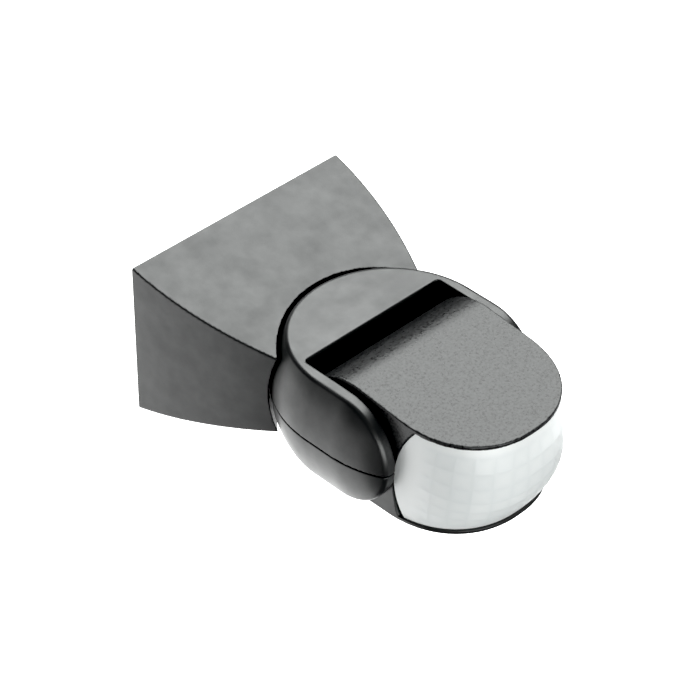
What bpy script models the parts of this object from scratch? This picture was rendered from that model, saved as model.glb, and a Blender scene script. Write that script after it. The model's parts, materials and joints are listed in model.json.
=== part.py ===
"""A wall-mounted outdoor motion sensor: wall bracket, panning yoke and tilting sensor head.

Sizes are in millimetres and meshes in metres, Z up. The origin is the centre of the face that
sits on the wall, and -Y points into the room. Run with: blender --background --python part.py
"""

from math import acos, cos, pi, radians, sin, sqrt

import bmesh
import bpy

MM = 0.001
GAP = 0.3  # between pieces that touch

# Wall bracket: a wedge that narrows from the wall to the neck
WALL_W, WALL_H = 75.0, 48.0
TALL = WALL_H / 48.0  # what the heights at the neck follow
FLANK_LEAN, FLANK_CURVE = 0.035, 0.01  # plan half-width = W/2 - lean*d - curve*d*d/2
ROOF_SLOPE = 0.264
BRACKET_WALL = 2.6
BRACKET_LENGTH = 52.0  # before the seat is cut out of it
EDGE_ROUND = 0.5

# Head: a barrel about the tilt axis, a flat lid, and a lens round the front
TILT_Y = -69.4
REST_TILT = radians(5.9)
BARREL_R = 17.75
SLOT_CLEAR = 0.65
HEAD_HALF_W = 24.0
WIDE = HEAD_HALF_W / 24.0  # what the widths inside the head follow
HEAD_FRONT_Y = -83.6  # where the straight sides end
HEAD_NOSE = 24.6
HEAD_SQUARE = 2.2  # exponent of the rounded front: 2 is an ellipse
HEAD_TAPER = 0.11  # rise of the floor for each millimetre forward
HEAD_WALL = 2.0
LID = 1.3
LENS_THICK = 1.1
LENS_INSET = 0.5
LENS_BULGE = 3.6
LENS_SQUARE = 0.3
LENS_EDGE_Y, LENS_EDGE_R = -84.4, 31.0

# Yoke: a ball cut flat above and below, with two arms
PAN_Y = -60.0
BALL_R = 32.3
YOKE_HALF_H = 16.1
PARTING_Z = -1.0  # where the two halves of the yoke meet
PARTING_GAP = 0.35
YOKE_WALL = 1.9
SLOT_HALF_W = HEAD_HALF_W + 0.65
SLOT_BACK_Y = TILT_Y + BARREL_R - 0.45
SLOT_CORNER = 1.2
SLOT_WALL = 1.6
SEAT_GAP, SEAT_FLARE = 0.7, 0.25  # bracket seat to ball at mid-height, and what it opens by
PAN_RANGE = radians(30)

# Tilt axles, which also carry the wires
AXLE_R, AXLE_BORE, AXLE_FLANGE_R, AXLE_FLANGE = 5.7, 3.0, 7.4, 1.2
TILT_RING = 0.7

# Swivel key: a T-shaped runner on the bracket, in an arc slot of the yoke
KEY_HALF_H, KEY_HEAD_HALF_H, KEY_FLANGE_HALF_H = 4.2 * TALL, 7.0 * TALL, 11.5 * TALL
KEY_ANGLE = radians(9)
KEY_HEAD_R0, KEY_HEAD_R1 = BALL_R - 6.0, BALL_R - 3.7
KEY_FLANGE = 2.0
KEY_SCREW_Z = (-9.2 * TALL, 9.2 * TALL)
LEAD_R = 2.4
YOKE_SCREW = (19.0, -46.3)

# Back plate and what it carries
PLATE = 3.0
WALL_SLOT_X, WALL_SLOT_R, WALL_SLOT_LONG = 26.0, 2.3, 5.0
ENTRY_Z, ENTRY_R = WALL_H / 2 - 15.6, 4.5
COVER_SCREW_X, COVER_SCREW_Y = 22.0, -7.0
TERMINAL = (26.0, 11.0, 11.0)
TERMINAL_Z = -8.0
POLES = 3
POLE_PITCH = 7.6

# Inside the head
CASE_SCREWS = ((7.0 - HEAD_HALF_W, -76.0), (HEAD_HALF_W - 7.0, -76.0))
BOSS_END = -6.0
POST_R = 3.6
BOARD = 1.6
MAIN_BOARD_Z = 9.15 - BARREL_R
BOARD_BACK_Y = TILT_Y + sqrt((BARREL_R - HEAD_WALL) ** 2 - MAIN_BOARD_Z**2) - 1.395
CONNECTOR_TOP = BARREL_R * -2.9 / 17.75
BOARD_SCREWS = ((-16.5 * WIDE, -61.2), (16.5 * WIDE, -61.2))
PYRO_R, PYRO_Z = 4.1, MAIN_BOARD_Z + 9.6
KNOB_R, KNOB_PITCH, KNOB_Y = 4.3, 12.0, -86.0
KNOB_SPREAD = (-1, 0, 1)
KNOBS = ("range", "time", "dusk")

BODIES = {}  # body name -> (parent empty, offset)


# ---------------------------------------------------------------- scene
def clear_scene():
    for obj in list(bpy.data.objects):
        bpy.data.objects.remove(obj, do_unlink=True)


def new_collection(name, helper=False):
    made = bpy.data.collections.new(name)
    made.hide_render = helper
    bpy.context.scene.collection.children.link(made)
    return made


def pivot(name, parent, place, tilt=0.0):
    """An empty on a joint's axis, and the offset that puts design coordinates under it."""
    empty = bpy.data.objects.new(f"{name}_pivot", None)
    empty.empty_display_size = 10 * MM
    PARTS.objects.link(empty)
    origin = (0, 0, 0)
    if parent:
        empty.parent, origin = BODIES[parent][0], BODIES[parent][1]
    empty.location = [(a - b) * MM for a, b in zip(place, origin)]
    empty.rotation_euler.x = tilt
    BODIES[name] = (empty, place)
    return empty


def material(name, colour, roughness=0.5, metallic=0.0):
    made = bpy.data.materials.new(name)
    made.use_nodes = True
    shader = made.node_tree.nodes["Principled BSDF"]
    shader.inputs["Base Color"].default_value = (*colour, 1)
    shader.inputs["Roughness"].default_value = roughness
    shader.inputs["Metallic"].default_value = metallic
    made.diffuse_color = (*colour, 1)
    return made


def add(name, bm, body, finish=None, smooth=False):
    """Makes the object. Without a finish it is a helper that only cuts or joins."""
    bmesh.ops.remove_doubles(bm, verts=bm.verts, dist=1e-8)
    bmesh.ops.recalc_face_normals(bm, faces=bm.faces)
    mesh = bpy.data.meshes.new(name)
    bm.to_mesh(mesh)
    bm.free()
    if smooth:
        mesh.shade_smooth()
        mesh.set_sharp_from_angle(angle=radians(35))
    obj = bpy.data.objects.new(name, mesh)
    if finish:
        mesh.materials.append(finish)
        PARTS.objects.link(obj)
    else:
        HELPERS.objects.link(obj)
        obj.hide_render = True
        obj.display_type = "WIRE"
    if body in BODIES:
        obj.parent, place = BODIES[body]
        obj.location = [-a * MM for a in place]
    return obj


def combine(target, operation, *others):
    for other in others:
        step = target.modifiers.new(other.name, "BOOLEAN")
        step.operation, step.solver, step.object = operation, "EXACT", other
    return target


def cut(target, *others):
    return combine(target, "DIFFERENCE", *others)


def join(target, *others):
    return combine(target, "UNION", *others)


def keep(target, *others):
    return combine(target, "INTERSECT", *others)


def bevel(obj, width, segments=2, angle=40):
    step = obj.modifiers.new("Rounded edges", "BEVEL")
    step.width, step.segments = width * MM, segments
    step.limit_method, step.angle_limit = "ANGLE", radians(angle)
    return obj


# ---------------------------------------------------------------- shapes, in millimetres
def arc(cx, cy, r, start, end, steps):
    turns = [start + (end - start) * i / steps for i in range(steps + 1)]
    return [(cx + r * cos(t), cy + r * sin(t)) for t in turns]


def rectangle(x0, x1, y0, y1):
    return [(x0, y0), (x1, y0), (x1, y1), (x0, y1)]


def loft(rings):
    """Closed solid through rings of equal length, with flat ends."""
    bm = bmesh.new()
    rows = [[bm.verts.new([c * MM for c in p]) for p in ring] for ring in rings]
    count = len(rows[0])
    for low, high in zip(rows, rows[1:]):
        for i in range(count):
            j = (i + 1) % count
            bm.faces.new((low[i], low[j], high[j], high[i]))
    bm.faces.new(rows[0])
    bm.faces.new(rows[-1])
    return bm


def prism(outline, low, high, axis="z"):
    order = {"x": lambda a, b, h: (h, a, b), "y": lambda a, b, h: (a, h, b),
             "z": lambda a, b, h: (a, b, h)}[axis]
    return loft([[order(a, b, h) for a, b in outline] for h in (low, high)])


def box(x0, x1, y0, y1, z0, z1):
    return prism(rectangle(x0, x1, y0, y1), z0, z1)


def swept(profile, place, axis="z", start=0.0, end=2 * pi, steps=24):
    """Turns a closed profile of (radius, height) about an axis through place."""
    whole = abs(end - start - 2 * pi) < 1e-6
    turns = [start + (end - start) * i / steps for i in range(steps + (not whole))]
    order = {"x": lambda a, b, h: (h, a, b), "y": lambda a, b, h: (a, h, b),
             "z": lambda a, b, h: (a, b, h)}[axis]
    bm = bmesh.new()
    rings = []
    for t in turns:
        ring = []
        for r, h in profile:
            point = order(r * cos(t), r * sin(t), h)
            ring.append(bm.verts.new([(c + p) * MM for c, p in zip(point, place)]))
        rings.append(ring)
    pairs = list(zip(rings, rings[1:])) + ([(rings[-1], rings[0])] if whole else [])
    for one, two in pairs:
        for i in range(len(profile)):
            j = (i + 1) % len(profile)
            if profile[i][0] or profile[j][0]:
                bm.faces.new((one[i], one[j], two[j], two[i]))
    if not whole:
        bm.faces.new(rings[0])
        bm.faces.new(rings[-1])
    bmesh.ops.remove_doubles(bm, verts=bm.verts, dist=1e-8)
    bmesh.ops.dissolve_degenerate(bm, dist=1e-8, edges=bm.edges)
    return bm


def rod(r, low, high, place, axis="z", steps=20):
    return swept([(0, low), (r, low), (r, high), (0, high)], place, axis, steps=steps)


def washer(r0, r1, low, high, place, axis="z", steps=24):
    return swept([(r0, low), (r1, low), (r1, high), (r0, high)], place, axis, steps=steps)


def sunk_bore(name, sink_r, low, step, r, high, place, body):
    """Cutter for an upright hole whose lower end is wider, to take a screw's head."""
    profile = [(0, low), (sink_r, low), (sink_r, step), (r, step), (r, high), (0, high)]
    return add(name, swept(profile, place, steps=16), body)


def screw(name, place, axis, head_r, head_h, shank_r, length, body, point=1):
    """A cross-slotted screw: its head starts at place and it points along +axis or -axis."""
    profile = [(0, 0), (head_r * 0.8, 0), (head_r, head_h * 0.4), (head_r, head_h),
               (shank_r, head_h), (shank_r, length - shank_r), (0, length)]
    profile = [(r, h * point) for r, h in profile]
    obj = add(name, swept(profile, place, axis, steps=12), body, STEEL, smooth=True)
    half = head_r * 0.55
    span = sorted((-point * head_h, point * head_h * 0.55))
    for n, (a, b) in enumerate(((half, 0.25), (0.25, half))):
        sides = {"x": 0, "y": 1, "z": 2}[axis]
        limits = [(-a, a), (-b, b)]
        limits.insert(sides, tuple(span))
        flat = [c + p for pair, p in zip(limits, place) for c in pair]
        cut(obj, add(f"{name}_slot_{n}", box(*flat), body))
    return obj


# ---------------------------------------------------------------- bracket
def flank(depth):
    return WALL_W / 2 - FLANK_LEAN * depth - FLANK_CURVE * depth * depth / 2


def roof(depth):
    return WALL_H / 2 - ROOF_SLOPE * depth


def seat_radius(z):
    flare = SEAT_FLARE * (z / roof(-PAN_Y - BALL_R / 2)) ** 2
    return sqrt(BALL_R**2 - z * z) + SEAT_GAP + flare


def seat(name, grow, half_height=20.0):
    heights = [half_height * i / 6 for i in range(-6, 7)]
    profile = [(0, -half_height)] + [(seat_radius(z) + grow, z) for z in heights]
    return add(name, swept(profile + [(0, half_height)], (0, PAN_Y, 0), steps=72), "bracket")


def wedge(inset, start, steps=10):
    rings = []
    for i in range(steps + 1):
        depth = start + (BRACKET_LENGTH - start) * i / steps
        w, h = flank(max(depth, 0)) - inset, roof(max(depth, 0)) - inset
        rings.append([(x, -depth, z) for x, z in rectangle(-w, w, -h, h)])
    return loft(rings)


def make_bracket_shell():
    shell = add("bracket_shell", wedge(0, 0), "bracket", ABS)
    bevel(shell, EDGE_ROUND)
    hollow = add("bracket_hollow", wedge(BRACKET_WALL, -1.0), "bracket")
    cut(hollow, seat("seat_back", BRACKET_WALL))
    cut(shell, seat("seat_front", 0.0), hollow)
    floor = -roof(-COVER_SCREW_Y)
    places = {side: (x, COVER_SCREW_Y, 0)
              for side, x in (("left", -COVER_SCREW_X), ("right", COVER_SCREW_X))}
    for side, place in places.items():
        join(shell, add(f"cover_pad_{side}", rod(3.6, floor + 1.2, floor + 3.7, place), "bracket"))
    for side, place in places.items():
        cut(shell, sunk_bore(f"cover_bore_{side}", 3.0, floor - 2, floor + 1.8, 1.6, floor + 5,
                             place, "bracket"))
    turn = KEY_ANGLE + GAP / BALL_R
    cut(shell, add("key_window", swept(
        [(r, z) for r, z in rectangle(BALL_R - 4, BALL_R + 8, -KEY_HEAD_HALF_H - GAP,
                                      KEY_HEAD_HALF_H + GAP)],
        (0, PAN_Y, 0), start=pi / 2 - turn, end=pi / 2 + turn, steps=8), "bracket"))
    for z in KEY_SCREW_Z:
        cut(shell, add(f"key_pilot_{z:.0f}", rod(1.2, PAN_Y + seat_radius(z) + 0.7,
                                                 PAN_Y + seat_radius(z) + 5, (0, 0, z), "y", 16),
                       "bracket"))


def make_back_plate():
    w, h = flank(PLATE) - BRACKET_WALL - GAP, roof(PLATE) - BRACKET_WALL - GAP
    plate = add("back_plate", box(-w, w, -PLATE, 0, -h, h), "bracket", ABS)
    for side, x in (("left", -COVER_SCREW_X), ("right", COVER_SCREW_X)):
        top = -roof(-COVER_SCREW_Y + 4) + BRACKET_WALL + GAP
        join(plate, add(f"lug_{side}", box(x - 3.4, x + 3.4, -11, -PLATE + 1, top, top + 9),
                        "bracket"))
        cut(plate, add(f"lug_bore_{side}", rod(1.5, -30, top + 6.5, (x, COVER_SCREW_Y, 0)),
                       "bracket"))
    groove_w, groove_h = w - 2.2, h - 2.2
    frame = add("seal_groove", box(-groove_w, groove_w, -1.3, 1, -groove_h, groove_h), "bracket")
    cut(frame, add("seal_island", box(2.4 - groove_w, groove_w - 2.4, -2, 2, 2.4 - groove_h,
                                      groove_h - 2.4), "bracket"))
    cut(plate, frame)
    # One slot lies flat and one stands, so that the plate can be levelled
    for side, x, long_x, long_z in (("left", -WALL_SLOT_X, WALL_SLOT_LONG, 0),
                                    ("right", WALL_SLOT_X, 0, WALL_SLOT_LONG)):
        half = long_x / 2 or long_z / 2
        r = WALL_SLOT_R
        outline = arc(half, 0, r, -pi / 2, pi / 2, 8) + arc(-half, 0, r, pi / 2, 3 * pi / 2, 8)
        if long_z:
            outline = [(b, a) for a, b in outline]
        outline = [(a + x, b) for a, b in outline]
        cut(plate, add(f"wall_slot_{side}", prism(outline, -PLATE - 1, 1, "y"), "bracket"))
    cut(plate,
        add("entry_bore", rod(ENTRY_R, -9, 1, (0, 0, ENTRY_Z), "y"), "bracket"),
        add("entry_sink", rod(ENTRY_R + 2.3, -1.5, 1, (0, 0, ENTRY_Z), "y"), "bracket"))
    s = GAP
    seal = add("wall_seal", box(s - groove_w, groove_w - s, -1.0, 0, s - groove_h, groove_h - s),
               "bracket", RUBBER)
    cut(seal, add("seal_middle", box(2.4 - s - groove_w, groove_w - 2.4 + s, -2, 2,
                                     2.4 - s - groove_h, groove_h - 2.4 + s), "bracket"))


def make_grommet():
    r, back, front = ENTRY_R, -0.2, -PLATE
    profile = [(1.6, back), (r + 2, back), (r + 2, back - 1), (r - GAP, back - 1),
               (r - GAP, front - GAP), (r + 1.8, front - GAP), (r + 0.8, front - 1.9),
               (3.0, front - 2.9), (1.6, front - 2.9), (2.2, front)]
    add("cable_grommet", swept(profile, (0, 0, ENTRY_Z), "y"), "bracket", RUBBER, smooth=True)


def make_terminal_block():
    w, d, h = TERMINAL
    back = -PLATE - GAP
    block = add("terminal_block", box(-w / 2, w / 2, back - d, back, TERMINAL_Z - h / 2,
                                      TERMINAL_Z + h / 2), "bracket", NYLON)
    bevel(block, 0.6, 1)
    for n in range(POLES):
        x = (n - (POLES - 1) / 2) * POLE_PITCH
        mid = back - d / 2
        cut(block,
            add(f"wire_way_{n}", rod(1.7, TERMINAL_Z - h, TERMINAL_Z + h, (x, mid + 2.6, 0),
                                     steps=16), "bracket"),
            add(f"screw_well_{n}", rod(2.3, back - d - 1, mid, (x, 0, TERMINAL_Z), "y", 16),
                "bracket"))
        screw(f"terminal_screw_{n + 1}", (x, back - d + 1.4, TERMINAL_Z), "y", 1.9, 1.4, 1.1, 3.9,
              "bracket")


def make_swivel_key():
    seat_back = seat_radius(0) + BRACKET_WALL + GAP
    place = (0, PAN_Y, 0)
    runner = [(seat_back + 1, KEY_HALF_H), (KEY_HEAD_R1, KEY_HALF_H),
              (KEY_HEAD_R1, KEY_HEAD_HALF_H), (KEY_HEAD_R0, KEY_HEAD_HALF_H)]
    runner += [(r, -h) for r, h in reversed(runner)]
    key = add("swivel_key", swept(runner, place, start=pi / 2 - KEY_ANGLE,
                                  end=pi / 2 + KEY_ANGLE, steps=8), "bracket", ACETAL)
    wide = KEY_ANGLE * 1.3
    flange = swept(rectangle(seat_back, seat_back + KEY_FLANGE, -KEY_FLANGE_HALF_H,
                             KEY_FLANGE_HALF_H), place, start=pi / 2 - wide, end=pi / 2 + wide,
                   steps=9)
    join(key, add("key_flange", flange, "bracket"))
    cut(key, add("key_bore", rod(LEAD_R + 0.4, PAN_Y + 20, PAN_Y + 45, (0, 0, 0), "y"),
                 "bracket"))
    outside = PAN_Y + seat_back + KEY_FLANGE
    for name, z in zip(("lower", "upper"), KEY_SCREW_Z):
        cut(key, add(f"key_bore_{name}", rod(1.2, outside - 5, outside + 5, (0, 0, z), "y", 16),
                     "bracket"))
        screw(f"key_screw_{name}", (0, outside + GAP + 1.2, z), "y", 2.0, 1.2, 0.9, 6.0,
              "bracket", point=-1)


def tube(name, points, r, body, finish):
    """A round lead along a smooth path, made into a mesh with closed ends."""
    curve = bpy.data.curves.new(name, "CURVE")
    curve.dimensions, curve.resolution_u = "3D", 5
    curve.bevel_depth, curve.bevel_resolution, curve.use_fill_caps = r * MM, 2, True
    spline = curve.splines.new("BEZIER")
    spline.bezier_points.add(len(points) - 1)
    for knot, point in zip(spline.bezier_points, points):
        knot.co = [c * MM for c in point]
        knot.handle_left_type = knot.handle_right_type = "AUTO"
    maker = bpy.data.objects.new(name + "_path", curve)
    HELPERS.objects.link(maker)
    graph = bpy.context.evaluated_depsgraph_get()
    mesh = bpy.data.meshes.new_from_object(maker.evaluated_get(graph))
    bpy.data.objects.remove(maker)
    bm = bmesh.new()
    bm.from_mesh(mesh)
    bpy.data.meshes.remove(mesh)
    bmesh.ops.remove_doubles(bm, verts=bm.verts, dist=1e-6)
    return add(name, bm, body, finish, smooth=True)


def make_bracket():
    make_bracket_shell()
    make_back_plate()
    make_grommet()
    make_terminal_block()
    make_swivel_key()
    for side, x in (("left", -COVER_SCREW_X), ("right", COVER_SCREW_X)):
        place = (x, COVER_SCREW_Y, -roof(-COVER_SCREW_Y) + 0.6)
        screw(f"cover_screw_{side}", place, "z", 2.6, 1.0, 1.2, 9.5, "bracket")
    start = -PLATE - GAP - TERMINAL[1] - 1.0
    # The lead sinks to the key's bore in the room that the key's flange leaves
    bore = PAN_Y + seat_radius(0) + BRACKET_WALL + GAP + KEY_FLANGE - 0.2
    room = start - bore
    tube("bracket_lead", [(0, start, room * 0.214), (0, start - room / 2, room * 0.086),
                          (0, bore, 0), (0, PAN_Y + KEY_HEAD_R0 - 2.0, 0)], LEAD_R, "bracket",
         PVC)


# ---------------------------------------------------------------- yoke
def slot_outline(grow=0.0):
    """The slot between the arms, seen from the side: square at the back, round for the barrel."""
    back, r, tall = SLOT_BACK_Y + grow, BARREL_R + SLOT_CLEAR + grow, YOKE_HALF_H + 3
    turn = acos((back - TILT_Y) / r)
    curve = arc(TILT_Y, 0, r, turn, -turn, 8)
    return [(-130, tall), (back, tall)] + curve + [(back, -tall), (-130, -tall)]


def side_outline(inset=0.0):
    """The yoke from the side: flat top and floor, and a nose that is round on the tilt axis."""
    r = YOKE_HALF_H - inset
    return [(-20, -r), (-20, r)] + arc(TILT_Y, 0, r, pi / 2, 3 * pi / 2, 24)


def ball(radius, low, high, levels=6, steps=24):
    """A ball about the pan axis, drawn out forward to the tilt axis."""
    rings = []
    for i in range(levels + 1):
        z = low + (high - low) * i / levels
        r = sqrt(radius**2 - z * z)
        plan = arc(0, PAN_Y, r, 0, pi, steps) + arc(0, TILT_Y, r, pi, 2 * pi, steps)
        rings.append([(x, y, z) for x, y in plan])
    return loft(rings)


def make_yoke_shell(name, up):
    """One half of the yoke: up is 1 for the upper half and -1 for the lower."""
    top = YOKE_HALF_H + 1
    joint = PARTING_Z + up * PARTING_GAP / 2
    shell = add(name, ball(BALL_R, joint, top * up), "yoke", ABS)
    keep(shell, add(f"{name}_side", prism(side_outline(), -40, 40, "x"), "yoke"))
    hollow = add(f"{name}_hollow", ball(BALL_R - YOKE_WALL, PARTING_Z - up,
                                        (top - YOKE_WALL) * up), "yoke")
    walls = add(f"{name}_slot_walls", prism(slot_outline(SLOT_WALL), -SLOT_HALF_W - SLOT_WALL,
                                            SLOT_HALF_W + SLOT_WALL, "x"), "yoke")
    keep(hollow, add(f"{name}_inside", prism(side_outline(YOKE_WALL), -40, 40, "x"), "yoke"))
    cut(hollow, walls)
    slot = add(f"{name}_slot", prism(slot_outline(), -SLOT_HALF_W, SLOT_HALF_W, "x"), "yoke")
    bevel(slot, SLOT_CORNER, 3, 80)
    cut(shell, hollow, slot)
    inner = YOKE_HALF_H - YOKE_WALL / 2
    places = {side: (x, YOKE_SCREW[1], 0)
              for side, x in (("left", -YOKE_SCREW[0]), ("right", YOKE_SCREW[0]))}
    for side, place in places.items():
        join(shell, add(f"{name}_boss_{side}", rod(2.7, *sorted((joint, inner * up)), place),
                        "yoke"))
        if up < 0:
            join(shell, add(f"{name}_pad_{side}", rod(4.2, -inner, -inner + 4, place), "yoke"))
    for side, place in places.items():
        if up < 0:
            cut(shell, sunk_bore(f"{name}_bore_{side}", 3.0, -20, -YOKE_HALF_H + 2.6, 1.5, 1,
                                 place, "yoke"))
        else:
            cut(shell, add(f"{name}_bore_{side}", rod(1.5, -1, 10, place), "yoke"))
    for side, x in (("left", -SLOT_HALF_W), ("right", SLOT_HALF_W)):
        out = -1 if x < 0 else 1
        cut(shell, add(f"{name}_axle_{side}", rod(
            AXLE_R + GAP, *sorted((x - out, x + out * (SLOT_WALL + 1))), (0, TILT_Y, 0), "x", 32),
            "yoke"))
    turn = KEY_ANGLE + PAN_RANGE + radians(1.5)
    cut(shell, add(f"{name}_key_way", swept(
        rectangle(BALL_R - 6, BALL_R + 3, -KEY_HALF_H - GAP, KEY_HALF_H + GAP), (0, PAN_Y, 0),
        start=pi / 2 - turn, end=pi / 2 + turn, steps=24), "yoke"))
    return shell


def make_yoke():
    make_yoke_shell("yoke_upper_shell", 1)
    make_yoke_shell("yoke_lower_shell", -1)
    for side, x in (("left", -YOKE_SCREW[0]), ("right", YOKE_SCREW[0])):
        screw(f"yoke_screw_{side}", (x, YOKE_SCREW[1], -YOKE_HALF_H + 0.6), "z", 2.6, 1.7, 1.2,
              21, "yoke")
        out = -1 if x < 0 else 1
        start = out * (SLOT_HALF_W + SLOT_WALL + GAP)
        low, high = sorted((start, start + out * TILT_RING))
        add(f"tilt_ring_{side}", washer(AXLE_R + GAP, AXLE_FLANGE_R, low, high, (0, TILT_Y, 0),
                                        "x"), "yoke", RUBBER, smooth=True)
    # Flat three-core lead in the left arm, just inside the outer wall
    r = BALL_R - YOKE_WALL - GAP
    path = [(-12.5, -43.5), (-16.5, -42.4), (-20.4, -41.8)]
    path += arc(0, PAN_Y, r - 0.7, radians(146), pi, 8)
    path.append((0.7 - r, TILT_Y + AXLE_FLANGE_R + GAP))
    ribbon(path, 0.6, 2.4)


def ribbon(path, half_thick, half_tall):
    left, right = [], []
    for i, (x, y) in enumerate(path):
        ax, ay = path[max(i - 1, 0)]
        bx, by = path[min(i + 1, len(path) - 1)]
        size = sqrt((bx - ax) ** 2 + (by - ay) ** 2)
        nx, ny = -(by - ay) / size, (bx - ax) / size
        left.append((x + nx * half_thick, y + ny * half_thick))
        right.append((x - nx * half_thick, y - ny * half_thick))
    add("yoke_lead", prism(left + right[::-1], -half_tall, half_tall), "yoke", PVC)


# ---------------------------------------------------------------- head
def front_curve(half_w, nose, square, steps=40, edge=0.0):
    """Rounded front from left to right: a superellipse, started edge millimetres forward."""
    end = acos((edge / nose) ** (square / 2))
    turns = [-end + 2 * end * i / steps for i in range(steps + 1)]
    side = [(1 if t > 0 else -1) * half_w * abs(sin(t)) ** (2 / square) for t in turns]
    return [(x, HEAD_FRONT_Y - nose * max(cos(t), 0.0) ** (2 / square))
            for x, t in zip(side, turns)]


def head_plan(inset=0.0):
    w = HEAD_HALF_W - inset
    curve = front_curve(w, HEAD_NOSE - inset, HEAD_SQUARE)
    return curve + [(w, -40), (-w, -40)]


def floor_z(y, inset=0.0):
    return -BARREL_R + inset + HEAD_TAPER * (TILT_Y - y)


def head_side(inset=0.0, low=-60.0, high=60.0):
    """The head from the side, level: barrel, flat lid, and a floor that rises forward."""
    r = BARREL_R - inset
    top = [(-130, r)] + arc(TILT_Y, 0, r, pi / 2, 0, 16)
    bottom = arc(TILT_Y, 0, r, 0, -pi / 2, 16)[1:] + [(-130, floor_z(-130, inset))]
    if low > -1:
        return top[:-1] + [(TILT_Y + sqrt(r * r - low * low), low), (-130, low)]
    return [(-130, high), (TILT_Y + sqrt(r * r - high * high), high)] + bottom


def lens_edge_y(z):
    return LENS_EDGE_Y - LENS_EDGE_R + sqrt(LENS_EDGE_R**2 - z * z)


def make_case(name, up):
    solid = add(name, prism(head_plan(), 25 * up, 0.1 * up), "head", ABS)
    outline = head_side(low=0.1) if up > 0 else head_side(high=-0.1)
    keep(solid, add(f"{name}_side", prism(outline, -40, 40, "x"), "head"))
    hollow = add(f"{name}_hollow", prism(head_plan(HEAD_WALL), 25 * up, -2 * up), "head")
    inner = head_side(HEAD_WALL, low=-0.9) if up > 0 else head_side(HEAD_WALL, high=0.9)
    keep(hollow, add(f"{name}_inside", prism(inner, -40, 40, "x"), "head"))
    # Everything in front of the lens edge goes, but for the lid or the floor
    top = BARREL_R - LID
    heights = [top * i / 10 for i in range(-10, 11)]
    edge = [(lens_edge_y(z) + GAP, z) for z in heights if z * up > -1]
    if up > 0:
        window = [(-130, edge[0][1])] + edge + [(-130, top)]
    else:
        edge = [(y, max(z, floor_z(y, LID))) for y, z in edge]
        window = [(-130, floor_z(-130, LID))] + edge + [(-130, edge[-1][1])]
    cut(solid, hollow, add(f"{name}_window", prism(window, -40, 40, "x"), "head"))
    for side in (-1, 1):
        x = side * HEAD_HALF_W
        cut(solid, add(f"{name}_axle_{side}", rod(
            AXLE_R + GAP, *sorted((x + side, x - side * (HEAD_WALL + 1))), (0, TILT_Y, 0), "x",
            32), "head"))
    inner_z = BARREL_R - HEAD_WALL / 2
    for n, (x, y) in enumerate(CASE_SCREWS):
        low, high = (BOSS_END, inner_z) if up > 0 else (floor_z(y) + 1, BOSS_END - GAP)
        join(solid, add(f"{name}_boss_{n}", rod(2.6 if up > 0 else POST_R, low, high, (x, y, 0)),
                        "head"))
    for n, (x, y) in enumerate(CASE_SCREWS):
        if up > 0:
            cut(solid, add(f"{name}_bore_{n}", rod(1.4, BOSS_END - 1, 6, (x, y, 0), steps=20),
                           "head"))
        else:
            cut(solid, sunk_bore(f"{name}_bore_{n}", 2.9, -30, floor_z(y) + 2.4, 1.5,
                                 BOSS_END + 1, (x, y, 0), "head"))
    if up < 0:
        for n, (x, y) in enumerate(BOARD_SCREWS):
            foot = 0.05 - sqrt((BARREL_R - HEAD_WALL) ** 2 - (y - TILT_Y) ** 2)
            join(solid, add(f"board_pillar_{n}", rod(2.4, foot, MAIN_BOARD_Z - GAP, (x, y, 0),
                                                     steps=20), "head"))
        for n, (x, y) in enumerate(BOARD_SCREWS):
            cut(solid, add(f"board_pilot_{n}", rod(1.3, foot + 1, MAIN_BOARD_Z + 3.6, (x, y, 0),
                                                   steps=14), "head"))
        for spot in KNOB_SPREAD:
            x = spot * KNOB_PITCH
            cut(solid, sunk_bore(f"knob_hole_{spot}", KNOB_R + 1.2, -30, floor_z(KNOB_Y) + 0.9,
                                 KNOB_R - 0.9, -8, (x, KNOB_Y, 0), "head"))
    return solid


def make_lens():
    """Bulging skin round the front, with its edge an arc on each side of the head."""
    top = BARREL_R - LID - 0.15
    rows, steps = 8, 34
    bm = bmesh.new()
    grid = []
    for i in range(rows + 1):
        level = top * (2 * i / rows - 1)
        swell = 1 - (level / top) ** 2
        square = HEAD_SQUARE + LENS_SQUARE * swell
        w = HEAD_HALF_W - LENS_INSET + 0.35 * swell
        nose = HEAD_NOSE - LENS_INSET - 0.2 + LENS_BULGE * swell
        edge = HEAD_FRONT_Y - lens_edge_y(level)
        line = []
        for x, y in front_curve(w, nose, square, steps, edge):
            floor = floor_z(y, LID + 0.15)
            line.append(bm.verts.new((x * MM, y * MM, (level if level > 0
                                                       else level * floor / -top) * MM)))
        grid.append(line)
    for low, high in zip(grid, grid[1:]):
        for j in range(steps):
            bm.faces.new((low[j], low[j + 1], high[j + 1], high[j]))
    lens = add("fresnel_lens", bm, "head", HDPE, smooth=True)
    skin = lens.modifiers.new("Wall", "SOLIDIFY")
    skin.thickness, skin.offset = LENS_THICK * MM, -1
    return lens


def make_lens_retainer():
    """Frame behind the lens that presses its edges against the cases."""
    inset = LENS_INSET + LENS_THICK + 2 * GAP
    rim = 1.2
    top, low = BARREL_R - HEAD_WALL - GAP, floor_z(-130, LID) - 1.6
    outer = front_curve(HEAD_HALF_W - inset, HEAD_NOSE - inset, HEAD_SQUARE, 20)
    inner = front_curve(HEAD_HALF_W - inset - rim, HEAD_NOSE - inset - rim, HEAD_SQUARE, 20)
    frame = add("lens_retainer", prism(outer + inner[::-1], low, top), "head", ABS)
    cut(frame, add("retainer_window", box(-40, 40, -130, HEAD_FRONT_Y - 3.5, MAIN_BOARD_Z - GAP,
                                          top - 3.4), "head"))


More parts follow.
